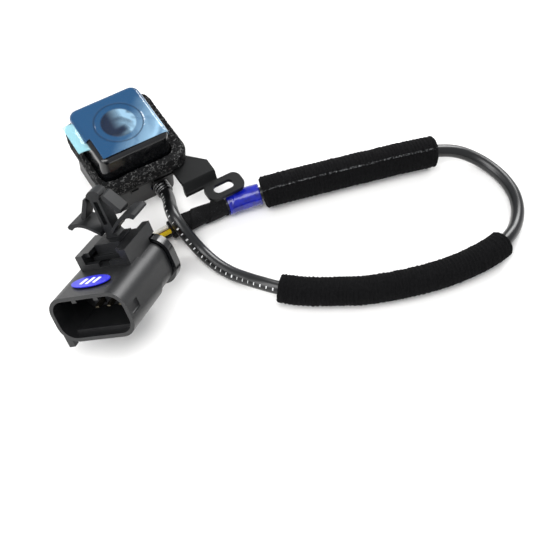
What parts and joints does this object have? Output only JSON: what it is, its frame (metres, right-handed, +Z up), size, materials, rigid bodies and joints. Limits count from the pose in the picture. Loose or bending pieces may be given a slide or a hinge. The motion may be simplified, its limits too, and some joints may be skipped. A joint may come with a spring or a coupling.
{
  "type": "vehicle backup camera",
  "caption": "Square black camera head lying face up under a blue peel-off film, with a foam gasket, slotted ear bracket, sleeved cable and a sealed connector with a push-in clip.",
  "frame": {"origin": "on the surface the camera lies on, below the middle of the camera head with its gasket, film and bracket", "axes": "+Z up, along the lens axis; +X towards the slotted ear; +Y away from the cable exit"},
  "size_m": [0.1663, 0.1169, 0.0388],
  "materials": {
    "gloss_black_abs": "moulded, glossy",
    "satin_black_abs": "moulded, satin",
    "plated_steel": "zinc plated",
    "lens_glass": "coated",
    "black_rubber": "moulded",
    "circuit_board": "solder mask",
    "white_nylon": "moulded",
    "tinned_steel": "tinned",
    "sensor_glass": "coated cover glass",
    "filter_glass": "coated",
    "foam": "open-cell foam",
    "blue_film": "smooth peel-off film",
    "coated_bracket": "satin black",
    "cable_jacket": "extruded PVC, satin",
    "fleece": "napped fleece",
    "blue_tape": "glossy tape",
    "cloth_tape": "wound cloth tape",
    "white_pvc": "extruded",
    "yellow_pvc": "extruded",
    "red_pvc": "extruded",
    "black_pvc": "extruded",
    "connector_pbt": "moulded, satin",
    "orange_silicone": "moulded",
    "tinned_brass": "stamped and plated",
    "blue_label": "printed label",
    "clip_nylon": "moulded"
  },
  "bodies": {
    "root": {"front_housing": "gloss_black_abs", "rear_housing": "satin_black_abs", "housing_screw_1": "plated_steel", "housing_screw_2": "plated_steel", "lens_barrel": "gloss_black_abs", "front_lens": "lens_glass", "lens_element_2": "lens_glass", "lens_spacer": "satin_black_abs", "lens_element_3": "lens_glass", "lens_seal": "black_rubber", "power_board": "circuit_board", "sensor_board": "circuit_board", "board_socket": "white_nylon", "board_header": "satin_black_abs", "shield_can": "tinned_steel", "image_sensor": "sensor_glass", "lens_holder": "satin_black_abs", "ir_filter": "filter_glass", "housing_seal": "black_rubber", "foam_gasket": "foam", "mounting_bracket": "coated_bracket", "camera_cable": "cable_jacket", "lower_sleeve": "fleece", "upper_sleeve": "fleece", "blue_tape": "blue_tape", "loom_tape": "cloth_tape", "strain_relief": "black_rubber", "wire_white": "white_pvc", "wire_yellow": "yellow_pvc", "wire_red": "red_pvc", "wire_black": "black_pvc", "connector_housing": "connector_pbt", "rear_cap": "gloss_black_abs", "wire_seal": "orange_silicone", "terminal_1": "tinned_brass", "terminal_2": "tinned_brass", "terminal_3": "tinned_brass", "terminal_4": "tinned_brass", "terminal_5": "tinned_brass", "terminal_6": "tinned_brass", "mark_label": "blue_label"},
    "film": {"protective_film": "blue_film"},
    "retainer": {"terminal_retainer": "white_nylon"},
    "clip": {"clip_base": "clip_nylon"},
    "barb_left": {"clip_barb_left": "clip_nylon"},
    "barb_right": {"clip_barb_right": "clip_nylon"},
    "wing_left": {"clip_wing_left": "clip_nylon"},
    "wing_right": {"clip_wing_right": "clip_nylon"}
  },
  "joints": [
    {"name": "film_lift", "type": "slide", "parent": "root", "child": "film", "axis": [0, 0, 1], "range_m": [0, 0.015]},
    {"name": "retainer_slide", "type": "slide", "parent": "root", "child": "retainer", "axis": [-0.7453, -0.5515, 0.3746], "range_m": [0, 0.0015]},
    {"name": "clip_slide", "type": "slide", "parent": "root", "child": "clip", "axis": [-0.7453, -0.5515, 0.3746], "range_m": [0, 0.0024]},
    {"name": "barb_left_flex", "type": "hinge", "parent": "clip", "child": "barb_left", "pos_m": [-0.02952, -0.01773, 0.03444], "axis": [-0.7453, -0.5515, 0.3746], "range_deg": [0, 15], "stiffness_Nm_per_rad": 0.01},
    {"name": "barb_right_flex", "type": "hinge", "parent": "clip", "child": "barb_right", "pos_m": [-0.02566, -0.02108, 0.0372], "axis": [0.7453, 0.5515, -0.3746], "range_deg": [0, 15], "stiffness_Nm_per_rad": 0.01},
    {"name": "wing_left_flex", "type": "hinge", "parent": "clip", "child": "wing_left", "pos_m": [-0.02838, -0.02537, 0.02547], "axis": [-0.7453, -0.5515, 0.3746], "range_deg": [0, 12], "stiffness_Nm_per_rad": 0.01},
    {"name": "wing_right_flex", "type": "hinge", "parent": "clip", "child": "wing_right", "pos_m": [-0.02572, -0.02767, 0.02737], "axis": [0.7453, 0.5515, -0.3746], "range_deg": [0, 12], "stiffness_Nm_per_rad": 0.01}
  ]
}
